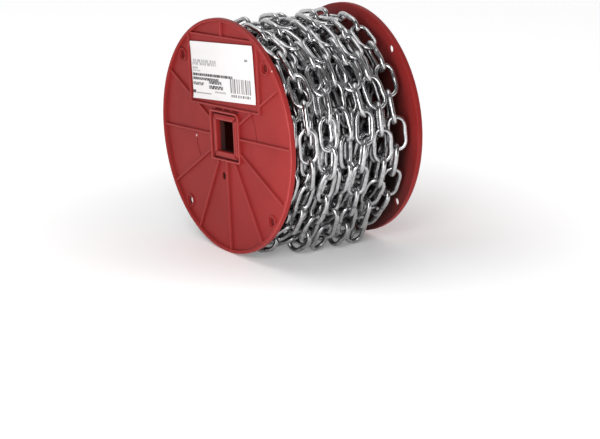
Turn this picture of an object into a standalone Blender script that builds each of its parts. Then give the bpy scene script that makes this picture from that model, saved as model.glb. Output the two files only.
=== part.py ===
# Reel of straight-link steel chain: two moulded flanges on a barrel, wound full of welded chain.
# The axis lies along X, the labelled flange faces -X, and the reel stands on both rims at z = 0.

import math

import bmesh
import bpy
import numpy as np
from mathutils import Matrix, Vector

# Flanges, in metres and degrees
FLANGE_RADIUS = 0.104
FLANGE_SIDES = 72
REEL_WIDTH = 0.139
RIM_DEPTH = 0.0055  # from a flange's inner face to the lip of its rim
RIM_WALL = 0.003
LIP_CHAMFER = 0.0008
WEB = 0.0025
REEL_TURN = 4.5  # how far the reel has rolled, counter-clockwise as the label is seen
RIB_WIDTH = 0.002
RIB_SETBACK = 0.0009  # ribs and label frame stay this far below the lip
TOP_RIB = 90
RIB_ANGLES = (-150, -120, -90, -60, -30, 0, 30, TOP_RIB, 150, 180)
BOSS_RING = 0.094
BOSS_RADIUS = 0.006
BOSS_HEIGHT = 0.0014
BOSS_HOLE = 0.005
BOSS_ANGLES = (45, 135, 225, 315)
TIE_HOLE = 0.0055
TIE_HOLE_PLACE = (-0.0062, -0.0352)

# Hub with a square hole
HUB_WIDTH = 0.045
HUB_HEIGHT = 0.0424
HUB_DROP = 0.0013  # the raised block's middle lies this far below the hole's
HUB_MOUTH = 0.0355
HUB_HOLE = 0.0275
HUB_FUNNEL = 0.0014  # depth of the flared mouth
SLEEVE_WALL = 0.003
SLEEVE_DEPTH = 0.012  # reach of the hub inside the barrel
SLOT_COUNT = 4
SLOT_SPACING = 0.0128
SLOT_LENGTH = 0.009
SLOT_WIDTH = 0.0016

# Paper label in its raised frame
LABEL_WIDTH = 0.1016
LABEL_HEIGHT = 0.0508
LABEL_THICKNESS = 0.0004
LABEL_CENTRE = (-0.0012, 0.0566)
LABEL_TURN = 2.3
FRAME_SHIFT = 0.0019  # from the label's middle to the frame's
FRAME_CLEARANCE = 0.0025
FRAME_WALL = 0.0018

# Barrel
WINDING_DEPTH = 0.054  # from the flange's edge down to the barrel
BARREL_WALL = 0.003
BARREL_SIDES = 48

# Chain
WIRE = 0.0044
LINK_WIDTH = 0.0192
LINK_PITCH = 0.0238
BITE = 0.0005  # how far neighbouring links press into each other
CHAIN_BELOW_RIM = 0.0034
STRAND_GAP = 0.0007  # the least gap between neighbouring strands if they ran straight
NEAR_SIDE_GAP = 0.0079  # from the winding to the labelled flange
FAR_SIDE_GAP = 0.0009  # from the winding to the plain flange
END_LINKS = 8  # links before the first strand's flat link and after the last one's
PIECES_PER_TURN = 4
PATH_STEPS = 1440  # steps a turn in the finely drawn path

# How each strand wanders in the photograph, as (angle, aside, out, lean). The angle is 0 toward -Y and
# 90 at the top. Aside is in strand spacings, out is in wire thicknesses, and lean turns a flat link
# about the strand. Between the last point of a strand and the first of the next, it crosses over.
STRAND_COURSES = (
    (
        (-150, -0.175, 0, -10), (-95, -0.225, 0.35, -10), (-60, 0.2, 0.25, -10), (-45, 0.4, 0, 5),
        (-27, 0.175, 0, 5), (-12, 0.325, 0, 0), (4, 0.075, 0, -5), (18, 0.175, 0, -20),
        (34, 0.275, 0, -34), (60, 0.075, 0, -20), (90, -0.075, 0, -10), (130, -0.125, 0, 0),
    ),
    (
        (-95, -0.05, 0.6, 0), (-60, 0.25, 0.25, 10), (-20, 0.3, 0, 20), (9, 0.225, 0, -5),
        (26, 0.225, 0, -20), (38, 0.45, 0, -34), (60, 0.19, 0, -20), (90, -0.025, 0.2, -10),
        (130, -0.075, 0, 0),
    ),
    (
        (-95, -0.075, 0.6, 0), (-60, 0.125, 0, 10), (-33, 0.175, -0.9, 20), (-20, 0.25, -1, 20),
        (-3, 0.25, -1, 22), (10, 0.1, -1, 10), (27, 0.05, -1.1, 0), (45, 0.16, -0.6, -10),
        (60, 0.05, 0, -10), (90, -0.075, 0.7, -10), (130, -0.075, 0.2, 0),
    ),
    (
        (-95, -0.075, 0.6, 0), (-60, 0.075, 0, 0), (-45, 0.025, 0.1, -10), (-22, -0.025, 0.1, -16),
        (-7, -0.075, 0, -20), (9, 0.125, 0, -24), (24, 0.08, 0, -24), (40, 0.06, 0, -20),
        (60, -0.03, 0.1, -10), (90, -0.05, 0.7, -10), (130, -0.075, 0.2, 0),
    ),
    (
        (-95, -0.06, 0.6, 0), (-60, -0.015, 0.2, -10), (-45, 0.05, 0, -20), (-18, 0.12, 0, -25),
        (-2, 0.08, 0.1, -25), (14, -0.05, 0.1, -25), (28, -0.085, 0.1, -26), (43, -0.25, 0, -25),
        (60, -0.2, 0, -10), (90, -0.125, 0.3, -5), (130, -0.075, 0, 0),
    ),
    (
        (-95, -0.05, 0.2, 0), (-62, -0.2, -0.3, -10), (-50, -0.26, -0.3, -20), (-27, -0.05, -0.3, -28),
        (-12, -0.27, -0.2, -25), (3, -0.02, -0.2, -28), (16, -0.36, -0.2, -25), (33, -0.15, -0.2, -32),
        (60, -0.2, 0, -15), (90, -0.175, 0.2, 0), (130, -0.075, 0, 0),
    ),
)
FLAT_LINK_ANGLES = (4, 9, -3, 9, -2, 3)  # where a link of each strand lies flat
ROUNDING = (-6, -3, 0, 3, 6)  # the course is a mean over these angles, so that it has no corners
TWIST = 90  # an odd number of links in a turn brings this twist into the crossing behind the reel
INNER_LEAN = 45  # links of the inner layer lean to one side and the other, and need no twist
INNER_COURSE = ((-90, 0, 0, INNER_LEAN), (130, 0, 0, INNER_LEAN))
INNER_END_LINKS = 4
INNER_GAP = 0.0004  # from the inner layer to the flanges and to the core

CLEARANCE = 0.0003  # between pieces that touch

# Sizes that follow
inner_half = REEL_WIDTH / 2 - RIM_DEPTH
axis_height = FLANGE_RADIUS * math.cos(math.pi / FLANGE_SIDES)
relief_top = RIM_DEPTH - RIB_SETBACK
winding_width = 2 * inner_half - NEAR_SIDE_GAP - FAR_SIDE_GAP
turn_count = int((winding_width + STRAND_GAP) / (LINK_WIDTH + STRAND_GAP))
strand_spacing = (winding_width - LINK_WIDTH) / (turn_count - 1)
first_strand = -inner_half + NEAR_SIDE_GAP + LINK_WIDTH / 2
strand_radius = FLANGE_RADIUS - CHAIN_BELOW_RIM - LINK_WIDTH / 2
half_link_angle = math.asin(LINK_PITCH / 2 / strand_radius)
barrel_radius = FLANGE_RADIUS - WINDING_DEPTH
lowest_strand = strand_radius + WIRE * min(out for course in STRAND_COURSES for _, _, out, _ in course)
inner_reach = LINK_WIDTH / 2 * math.sin(math.radians(INNER_LEAN))
inner_radius = lowest_strand - LINK_WIDTH / 2 - inner_reach
inner_first = -inner_half + INNER_GAP + inner_reach
inner_spacing = -2 * inner_first / (turn_count - 1)
inner_link_angle = math.asin(LINK_PITCH / 2 / inner_radius)
core_radius = inner_radius * math.cos(inner_link_angle) - inner_reach - INNER_GAP
link_length = LINK_PITCH + 2 * WIRE - BITE
label_turn = math.radians(LABEL_TURN)
frame_centre = (LABEL_CENTRE[0] + FRAME_SHIFT, LABEL_CENTRE[1])
frame_inner_half = (
    (LABEL_WIDTH * math.cos(label_turn) + LABEL_HEIGHT * math.sin(label_turn)) / 2 + FRAME_CLEARANCE,
    (LABEL_HEIGHT * math.cos(label_turn) + LABEL_WIDTH * math.sin(label_turn)) / 2 + FRAME_CLEARANCE,
)


def clear_scene():
    for old in list(bpy.data.objects):
        bpy.data.objects.remove(old, do_unlink=True)


def add_collection(name):
    collection = bpy.data.collections.new(name)
    bpy.context.scene.collection.children.link(collection)
    return collection


def add_material(name, color, roughness, metallic=0.0):
    material = bpy.data.materials.new(name)
    material.use_nodes = True
    shader = material.node_tree.nodes["Principled BSDF"]
    shader.inputs["Base Color"].default_value = (*color, 1.0)
    shader.inputs["Roughness"].default_value = roughness
    shader.inputs["Metallic"].default_value = metallic
    return material


def add_object(name, mesh, collection, parent, matrix=None, material=None):
    piece = bpy.data.objects.new(name, mesh)
    collection.objects.link(piece)
    piece.parent = parent
    piece.matrix_local = matrix if matrix else Matrix.Identity(4)
    if material:
        mesh.materials.append(material)
    if collection is cutters:
        piece.hide_render = True
        piece.display_type = "WIRE"
    return piece


def mesh_from(bm, name):
    mesh = bpy.data.meshes.new(name)
    bm.to_mesh(mesh)
    bm.free()
    return mesh


def add_box_to(bm, low, high, turn=Matrix.Identity(4)):
    size = Vector(high) - Vector(low)
    centre = (Vector(high) + Vector(low)) / 2
    place = turn @ Matrix.Translation(centre) @ Matrix.Diagonal((*size, 1.0))
    bmesh.ops.create_cube(bm, size=1.0, matrix=place)


def box_mesh(name, low, high):
    bm = bmesh.new()
    add_box_to(bm, low, high)
    return mesh_from(bm, name)


def cut_or_join(piece, other, operation):
    modifier = piece.modifiers.new(other.name, "BOOLEAN")
    modifier.operation = operation
    modifier.object = other
    modifier.solver = "EXACT"


def turned_mesh(name, profile, closed, start_angle):
    # The profile is a list of (radius, height) points, turned later about local Z.
    points = [(r * math.cos(start_angle), r * math.sin(start_angle), z) for r, z in profile]
    edges = [(i, i + 1) for i in range(len(points) - 1)]
    if closed:
        edges.append((len(points) - 1, 0))
    mesh = bpy.data.meshes.new(name)
    mesh.from_pydata(points, edges, [])
    return mesh


def turn_profile(piece, steps):
    screw = piece.modifiers.new("Turn", "SCREW")
    screw.axis = "Z"
    screw.angle = 2 * math.pi
    screw.steps = steps
    screw.render_steps = steps
    screw.use_merge_vertices = True
    screw.merge_threshold = 0.00001
    screw.use_smooth_shade = False


def flange_turn(side):
    return -side * math.radians(REEL_TURN)


def flange_matrix(side):
    # Local Z points out of the reel, local Y up and local X to the right as seen from outside.
    facing = Matrix(((0, 0, side), (side, 0, 0), (0, 1, 0))).to_4x4()
    turn = Matrix.Rotation(flange_turn(side), 4, "Z")
    return Matrix.Translation((side * inner_half, 0, 0)) @ facing @ turn


def flange_disc(name, turn):
    # The outline's start angle cancels the turn, so a flat side of the polygon always faces down.
    edge = FLANGE_RADIUS - LIP_CHAMFER
    inside = FLANGE_RADIUS - RIM_WALL
    profile = [(0, WEB), (inside, WEB), (inside, RIM_DEPTH), (edge, RIM_DEPTH)]
    profile += [(FLANGE_RADIUS, RIM_DEPTH - LIP_CHAMFER), (FLANGE_RADIUS, 0), (0, 0)]
    return turned_mesh(name, profile, False, math.pi / FLANGE_SIDES - turn)


def frame_box(grow, bottom, top, name):
    across = frame_inner_half[0] + grow
    along = frame_inner_half[1] + grow
    low = (frame_centre[0] - across, frame_centre[1] - along, bottom)
    high = (frame_centre[0] + across, frame_centre[1] + along, top)
    return box_mesh(name, low, high)


def add_ribs(flange, name):
    # The rib at the top starts behind the label, the others at the hub.
    bm = bmesh.new()
    outer_end = FLANGE_RADIUS - RIM_WALL / 2
    for angle in RIB_ANGLES:
        inner_end = frame_centre[1] if angle == TOP_RIB else HUB_HEIGHT / 2 - RIB_WIDTH
        turn = Matrix.Rotation(math.radians(angle), 4, "Z")
        low = (inner_end, -RIB_WIDTH / 2, WEB / 2)
        add_box_to(bm, low, (outer_end, RIB_WIDTH / 2, relief_top), turn)
    ribs = add_object(name + ".ribs", mesh_from(bm, name + ".ribs"), cutters, flange)
    recess_mesh = frame_box(FRAME_WALL / 2, 0, 2 * RIM_DEPTH, name + ".recess")
    recess = add_object(name + ".recess", recess_mesh, cutters, flange)
    cut_or_join(ribs, recess, "DIFFERENCE")
    cut_or_join(flange, ribs, "UNION")


def add_label_frame(flange, name):
    outer_mesh = frame_box(FRAME_WALL, WEB / 2, relief_top, name + ".frame")
    outer = add_object(name + ".frame", outer_mesh, cutters, flange)
    inner_mesh = frame_box(0, 0, 2 * RIM_DEPTH, name + ".frame_inside")
    inner = add_object(name + ".frame_inside", inner_mesh, cutters, flange)
    cut_or_join(outer, inner, "DIFFERENCE")
    inside_rim = FLANGE_RADIUS - RIM_WALL / 2
    bounds = (name + ".frame_round", [(0, 0)], inside_rim, 0, RIM_DEPTH, "INTERSECT", FLANGE_SIDES)
    add_round_studs(outer, *bounds)
    cut_or_join(flange, outer, "UNION")


def add_round_studs(flange, name, places, radius, bottom, top, operation, sides=12):
    bm = bmesh.new()
    for x, y in places:
        place = Matrix.Translation((x, y, (bottom + top) / 2))
        bmesh.ops.create_cone(
            bm, cap_ends=True, segments=sides, radius1=radius, radius2=radius,
            depth=top - bottom, matrix=place,
        )
    studs = add_object(name, mesh_from(bm, name), cutters, flange)
    cut_or_join(flange, studs, operation)


def add_hub(flange, name):
    low = (-HUB_WIDTH / 2, -HUB_DROP - HUB_HEIGHT / 2, WEB / 2)
    high = (HUB_WIDTH / 2, HUB_HEIGHT / 2 - HUB_DROP, RIM_DEPTH)
    block_mesh = box_mesh(name + ".hub", low, high)
    cut_or_join(flange, add_object(name + ".hub", block_mesh, cutters, flange), "UNION")
    half = HUB_HOLE / 2 + SLEEVE_WALL
    sleeve_mesh = box_mesh(name + ".sleeve", (-half, -half, -SLEEVE_DEPTH), (half, half, WEB / 2))
    cut_or_join(flange, add_object(name + ".sleeve", sleeve_mesh, cutters, flange), "UNION")


def cut_hub(flange, name):
    # The flare runs on past the lip at the same slope, so that it cuts cleanly.
    slope = (HUB_MOUTH - HUB_HOLE) / HUB_FUNNEL
    depth = HUB_FUNNEL + RIM_DEPTH
    wide = HUB_HOLE + slope * depth
    bm = bmesh.new()
    centre = Matrix.Translation((0, 0, RIM_DEPTH - HUB_FUNNEL + depth / 2))
    bmesh.ops.create_cone(
        bm, cap_ends=True, segments=4, radius1=HUB_HOLE / math.sqrt(2), radius2=wide / math.sqrt(2),
        depth=depth, matrix=centre @ Matrix.Rotation(math.pi / 4, 4, "Z"),
    )
    flare = add_object(name + ".flare", mesh_from(bm, name + ".flare"), cutters, flange)
    cut_or_join(flange, flare, "DIFFERENCE")
    half = HUB_HOLE / 2
    reach = SLEEVE_DEPTH + RIM_DEPTH
    hole_mesh = box_mesh(name + ".hole", (-half, -half, -reach), (half, half, reach))
    cut_or_join(flange, add_object(name + ".hole", hole_mesh, cutters, flange), "DIFFERENCE")


def cut_slots(flange, name):
    # A row of slots through the web, half-way between the hub and the label frame.
    frame_bottom = frame_centre[1] - frame_inner_half[1] - FRAME_WALL
    middle = (frame_bottom + HUB_HEIGHT / 2 - HUB_DROP) / 2
    bm = bmesh.new()
    for index in range(SLOT_COUNT):
        x = (index - (SLOT_COUNT - 1) / 2) * SLOT_SPACING
        low = (x - SLOT_LENGTH / 2, middle - SLOT_WIDTH / 2, -WEB)
        add_box_to(bm, low, (x + SLOT_LENGTH / 2, middle + SLOT_WIDTH / 2, 2 * WEB))
    slots = add_object(name + ".slots", mesh_from(bm, name + ".slots"), cutters, flange)
    cut_or_join(flange, slots, "DIFFERENCE")


def ring_places(radius, angles):
    return [(radius * math.cos(math.radians(a)), radius * math.sin(math.radians(a))) for a in angles]


def add_flange(name, side):
    mesh = flange_disc(name, flange_turn(side))
    flange = add_object(name, mesh, parts, reel_axis, flange_matrix(side), red_plastic)
    turn_profile(flange, FLANGE_SIDES)
    add_ribs(flange, name)
    add_label_frame(flange, name)
    bosses = ring_places(BOSS_RING, BOSS_ANGLES)
    boss_top = WEB + BOSS_HEIGHT
    add_round_studs(flange, name + ".bosses", bosses, BOSS_RADIUS, WEB / 2, boss_top, "UNION")
    add_hub(flange, name)
    cut_hub(flange, name)
    cut_slots(flange, name)
    cut_top = 2 * RIM_DEPTH
    add_round_studs(flange, name + ".boss_holes", bosses, BOSS_HOLE / 2, -WEB, cut_top, "DIFFERENCE")
    tie = [TIE_HOLE_PLACE]
    add_round_studs(flange, name + ".tie_hole", tie, TIE_HOLE / 2, -WEB, cut_top, "DIFFERENCE")


def add_label():
    low = (-LABEL_WIDTH / 2, -LABEL_HEIGHT / 2, 0)
    mesh = box_mesh("label", low, (LABEL_WIDTH / 2, LABEL_HEIGHT / 2, LABEL_THICKNESS))
    place = Matrix.Translation((*LABEL_CENTRE, WEB + CLEARANCE))
    turn = Matrix.Rotation(label_turn, 4, "Z")
    add_object("label", mesh, parts, reel_axis, flange_matrix(-1) @ place @ turn, paper)


def add_ring(name, inner, outer, half_length, material):
    profile = [(outer, half_length), (outer, -half_length), (inner, -half_length), (inner, half_length)]
    mesh = turned_mesh(name, profile, True, 0)
    along_axis = Matrix.Rotation(math.pi / 2, 4, "Y")
    ring = add_object(name, mesh, parts, reel_axis, along_axis, material)
    turn_profile(ring, BARREL_SIDES)


def link_mesh():
    # A long octagon of wire, bevelled square: local X along the strand, local Y across the link.
    end = (link_length - WIRE) / 2
    side = (LINK_WIDTH - WIRE) / 2
    shoulder = end - side * (1 - math.sqrt(0.5)) * 2
    crown = side * (math.sqrt(2) - 1)
    quarter = [(end, crown), (shoulder, side)]
    outline = quarter + [(-x, y) for x, y in reversed(quarter)]
    outline += [(-x, -y) for x, y in outline]
    curve = bpy.data.curves.new("link", "CURVE")
    curve.dimensions = "3D"
    curve.bevel_depth = WIRE / 2
    curve.bevel_resolution = 0
    spline = curve.splines.new("POLY")
    spline.points.add(len(outline) - 1)
    for point, (x, y) in zip(spline.points, outline):
        point.co = (x, y, 0, 1)
    spline.use_cyclic_u = True
    guide = add_object("link", curve, cutters, None)
    mesh = bpy.data.meshes.new_from_object(guide.evaluated_get(bpy.context.evaluated_depsgraph_get()))
    bpy.data.objects.remove(guide)
    return mesh


def course_points(courses, first_x, spacing, radius):
    # The points of every strand as columns: angle, X, radius, lean and number of the strand.
    points = []
    for strand in range(turn_count):
        for angle, aside, out, lean in courses[strand % len(courses)]:
            x = first_x + (strand + aside) * spacing
            points.append((angle + 360 * strand, x, radius + out * WIRE, lean, strand))
    return np.array(points).T


def rounded(angle, points, column):
    nearby = [np.interp(angle + shift, points[0], points[column]) for shift in ROUNDING]
    return np.mean(nearby, axis=0)


def winding_path(points, link_angle, end_links, twist):
    # Columns of the distance travelled, X, Y, Z and lean at close steps along the winding, and the
    # distance at which each whole or half number of links falls. Flat links have even numbers.
    strands = range(turn_count)
    flat = [FLAT_LINK_ANGLES[strand % len(FLAT_LINK_ANGLES)] + 360 * strand for strand in strands]
    end_sweep = math.degrees(link_angle) * (end_links + 1)
    angle = np.linspace(flat[0] - end_sweep, flat[-1] + end_sweep, PATH_STEPS * turn_count)
    x = rounded(angle, points, 1)
    y = -rounded(angle, points, 2) * np.cos(np.radians(angle))
    z = rounded(angle, points, 2) * np.sin(np.radians(angle))
    steps = np.linalg.norm(np.diff([x, y, z]), axis=0)
    travelled = np.concatenate([[0], np.cumsum(steps)])
    flat_distances = np.interp(flat, angle, travelled)
    links_between = np.rint(np.diff(flat_distances) / LINK_PITCH)
    numbers = np.concatenate([[0], np.cumsum(links_between)])
    points[3] += twist * (numbers[points[4].astype(int)] % 2)
    path = np.stack([travelled, x, y, z, rounded(angle, points, 3)])
    all_numbers = [-end_links - 1, *numbers, numbers[-1] + end_links + 1]
    return path, all_numbers, [0, *flat_distances, travelled[-1]]


def link_places(*winding):
    # For each link its number, the two ends of its pitch and its lean, shared out evenly among pieces.
    # Each piece is drawn back a little toward the one before, which slackens the joint between them.
    path, numbers, distances = winding_path(*winding)
    indices = np.arange(numbers[0] + 1, numbers[-1])
    piece_count = PIECES_PER_TURN * turn_count
    drawn_back = BITE + CLEARANCE
    stretch = drawn_back * piece_count / len(indices)
    pieces = []
    for number, group in enumerate(np.array_split(indices, piece_count)):
        places = []
        for index in group:
            ends = index + np.array([-0.5, 0.5])
            along = np.interp(ends, numbers, distances) + stretch * (ends - indices[0]) - drawn_back * number
            first, second = np.stack([np.interp(along, path[0], row) for row in path[1:4]], axis=1)
            lean = np.interp(along.mean(), path[0], path[4])
            places.append((int(index), Vector(first), Vector(second), float(lean)))
        pieces.append(places)
    return pieces


def link_matrix(first, second, roll):
    along = (second - first).normalized()
    centre = (first + second) / 2
    outward = Vector((0, centre.y, centre.z)).normalized()
    across = outward.cross(along).normalized()
    outward = along.cross(across)
    axes = Matrix((along, across, outward)).transposed().to_4x4()
    return Matrix.Translation(centre) @ axes @ Matrix.Rotation(math.radians(roll), 4, "X")


def placed_link(template, index, first, second, lean):
    # Even links lie flat on the winding and odd ones stand on edge. The straight sides take up the
    # difference between the pitch and the distance of the ends.
    link = template.copy()
    longer = (second - first).length - LINK_PITCH
    for vertex in link.vertices:
        vertex.co.x += longer / 2 if vertex.co.x > 0 else -longer / 2
    link.transform(link_matrix(first, second, lean + 90 * (index % 2)))
    return link


def add_chain_piece(name, template, links, material):
    # Every second link goes in one mesh, because only neighbours touch; a union joins the two.
    halves = []
    for parity in (0, 1):
        bm = bmesh.new()
        for index, first, second, lean in links:
            if index % 2 == parity:
                link = placed_link(template, index, first, second, lean)
                bm.from_mesh(link)
                bpy.data.meshes.remove(link)
        halves.append(mesh_from(bm, name))
    piece = add_object(name, halves[0], parts, reel_axis, None, material)
    others = add_object(name + ".others", halves[1], cutters, reel_axis)
    cut_or_join(piece, others, "UNION")


def add_layer(name, material, *winding):
    template = link_mesh()
    for number, links in enumerate(link_places(*winding), start=1):
        add_chain_piece(f"{name}_{number:02d}", template, links, material)


clear_scene()
parts = add_collection("chain_reel")
cutters = add_collection("cutters")
red_plastic = add_material("red_plastic", (0.42, 0.045, 0.05), 0.42)
steel = add_material("zinc_plated_steel", (0.55, 0.55, 0.56), 0.28, 1.0)
dark_steel = add_material("shaded_steel", (0.10, 0.10, 0.105), 0.5, 0.8)
paper = add_material("label_paper", (0.85, 0.85, 0.86), 0.6)

reel_axis = bpy.data.objects.new("reel_axis", None)
parts.objects.link(reel_axis)
reel_axis.location = (0, 0, axis_height)

add_flange("near_flange", -1)
add_flange("far_flange", 1)
add_label()
barrel_half = inner_half - CLEARANCE
add_ring("barrel", barrel_radius - BARREL_WALL, barrel_radius, barrel_half, red_plastic)
add_ring("chain_core", barrel_radius + CLEARANCE, core_radius, barrel_half, dark_steel)
outer_points = course_points(STRAND_COURSES, first_strand, strand_spacing, strand_radius)
add_layer("chain", steel, outer_points, 2 * half_link_angle, END_LINKS, TWIST)
inner_points = course_points([INNER_COURSE], inner_first, inner_spacing, inner_radius)
add_layer("inner", dark_steel, inner_points, 2 * inner_link_angle, INNER_END_LINKS, 0)
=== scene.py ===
import math
import bpy
import numpy as np
from mathutils import Matrix, Vector
from mathutils.geometry import delaunay_2d_cdt


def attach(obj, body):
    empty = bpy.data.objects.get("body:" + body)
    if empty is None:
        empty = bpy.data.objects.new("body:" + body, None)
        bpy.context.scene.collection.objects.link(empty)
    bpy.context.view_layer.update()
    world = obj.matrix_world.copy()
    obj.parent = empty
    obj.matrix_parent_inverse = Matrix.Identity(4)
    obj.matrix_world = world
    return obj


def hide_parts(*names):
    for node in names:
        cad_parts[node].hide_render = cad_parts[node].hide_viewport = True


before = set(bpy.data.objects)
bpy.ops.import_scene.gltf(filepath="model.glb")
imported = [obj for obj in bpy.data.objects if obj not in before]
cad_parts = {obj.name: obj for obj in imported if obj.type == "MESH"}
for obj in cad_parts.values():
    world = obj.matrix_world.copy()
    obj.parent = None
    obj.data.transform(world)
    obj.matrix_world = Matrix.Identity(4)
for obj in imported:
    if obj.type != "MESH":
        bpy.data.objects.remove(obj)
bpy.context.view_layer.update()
axisHeight = 0.103901  # the reel's axis runs along X at this height
insideHalf = 0.064  # from the reel's middle to the inside of either flange
scene = bpy.context.scene


def poseFrom(right, up, back, place):
    # The columns of a matrix: three axes of a camera or a lamp, then where it stands
    pose = np.eye(4)
    pose[:3] = np.column_stack([right, up, back, place])
    return Matrix(pose.tolist())


# Camera, at the photograph's angle: degrees, metres from the reel's axis, and a lens in millimetres
cameraLook = {
    "azimuth": 34.3221, "elevation": 15.8245, "distance": 2.05126, "aside": 0.00886, "below": 0.08285,
    "lens": 138.38, "sensor": 36, "farthest": 60,
}


def addCamera(look):
    # It stands back from the axis along the line of view, moved aside and down to the picture's middle
    az, el = math.radians(look["azimuth"]), math.radians(look["elevation"])
    view = np.array([math.sin(az) * math.cos(el), math.cos(az) * math.cos(el), -math.sin(el)])
    right = np.array([math.cos(az), -math.sin(az), 0.0])
    up = np.cross(right, view)
    place = np.array([0, 0, axisHeight]) - look["distance"] * view
    place = place + look["aside"] * right - look["below"] * up
    data = bpy.data.cameras.new("camera")
    data.lens, data.sensor_width, data.clip_end = look["lens"], look["sensor"], look["farthest"]
    camera = bpy.data.objects.new("camera", data)
    scene.collection.objects.link(camera)
    camera.matrix_world = poseFrom(right, up, -view, place)
    scene.camera = camera
    return view


viewLine = addCamera(cameraLook)
print("camera set")


# Shader maths: a wrapped socket takes part in Python expressions
class Value:
    def __init__(self, finish, socket):
        self.finish, self.socket = finish, socket

    def join(self, operation, *others):
        return self.finish.add("Math", {"operation": operation}, self, *others)

    def __add__(self, other):
        return self.join("ADD", other)

    def __sub__(self, other):
        return self.join("SUBTRACT", other)

    def __rsub__(self, other):
        return self.finish.add("Math", {"operation": "SUBTRACT"}, other, self)

    def __mul__(self, other):
        return self.join("MULTIPLY", other)

    def __truediv__(self, other):
        return self.join("DIVIDE", other)

    __radd__, __rmul__ = __add__, __mul__

    def over(self, low, high):
        # 0 below low, 1 above high, smooth between
        settings = {"interpolation_type": "SMOOTHSTEP"}
        return self.finish.add("MapRange", settings, self, low, high, 0.0, 1.0)


# One material, with its patterns laid out in object coordinates
class Finish:
    def __init__(self, name):
        self.material = bpy.data.materials.new(name)
        self.material.use_nodes = True
        self.tree = self.material.node_tree
        self.shader = self.tree.nodes["Principled BSDF"]
        self.place = self.add("TexCoord", {}, out="Object")

    def add(self, kind, settings, *inputs, out=0, **named):
        # Settings first, then the sockets, by their order or by name
        node = self.tree.nodes.new("ShaderNode" + kind)
        for key, setting in settings.items():
            setattr(node, key, setting)
        for key, value in list(enumerate(inputs)) + list(named.items()):
            self.feed(node.inputs[key.replace("_", " ") if isinstance(key, str) else key], value)
        return Value(self, node.outputs[out])

    def feed(self, socket, value):
        if isinstance(value, Value):
            self.tree.links.new(value.socket, socket)
        else:
            socket.default_value = value

    def noise(self, scale, detail=3.0, rough=0.55, stretch=None):
        where = self.place if stretch is None else self.add("Mapping", {}, self.place, Scale=stretch)
        return self.add("TexNoise", {}, Vector=where, Scale=scale, Detail=detail, Roughness=rough)

    def mark(self, name):
        return self.add("Attribute", {"attribute_name": name}, out="Fac")

    def blend(self, share, first, second):
        # A Mix node's sockets 6 and 7 and its output 2 are its colours
        node = self.tree.nodes.new("ShaderNodeMix")
        node.data_type = "RGBA"
        for key, value in ((0, share), (6, first), (7, second)):
            self.feed(node.inputs[key], value)
        return Value(self, node.outputs[2])

    def shade(self, **sockets):
        for key, value in sockets.items():
            self.feed(self.shader.inputs[key.replace("_", " ")], value)
        return self.material

    def bump(self, height, strength, distance):
        return self.add("Bump", {}, Height=height, Strength=strength, Distance=distance)


# Moulded plastic of the reel
plasticLook = {
    "red": (0.31, 0.023, 0.022, 1), "paler": (0.35, 0.029, 0.028, 1), "deeper": (0.25, 0.017, 0.016, 1),
    # the pale edge colour is wear and painted highlight; corner is a near-black painted shade
    "scuff": (0.45, 0.16, 0.15, 1), "edge": (0.50, 0.105, 0.10, 1), "corner": (0.05, 0.007, 0.007, 1),
    "shadeAndGrime": (0.035, 0.022, 0.02, 1), "shadeShare": 0.75, "barrelShade": 0.3,
    "shadeRadius": (0.075, 0.112), "shadeHeight": (0.03, 0.14),  # from full painted shade to none
    "chalky": (0.75, 0.5, 0.48, 1),
    "chalkySpots": [  # place and size of three pale scuffs
        ((-0.0665, 0.0504, 0.0949), 0.0012), ((-0.0695, -0.0753, 0.1759), 0.0011),
        ((-0.0695, -0.1005, 0.1040), 0.0009),
    ],
}


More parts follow.
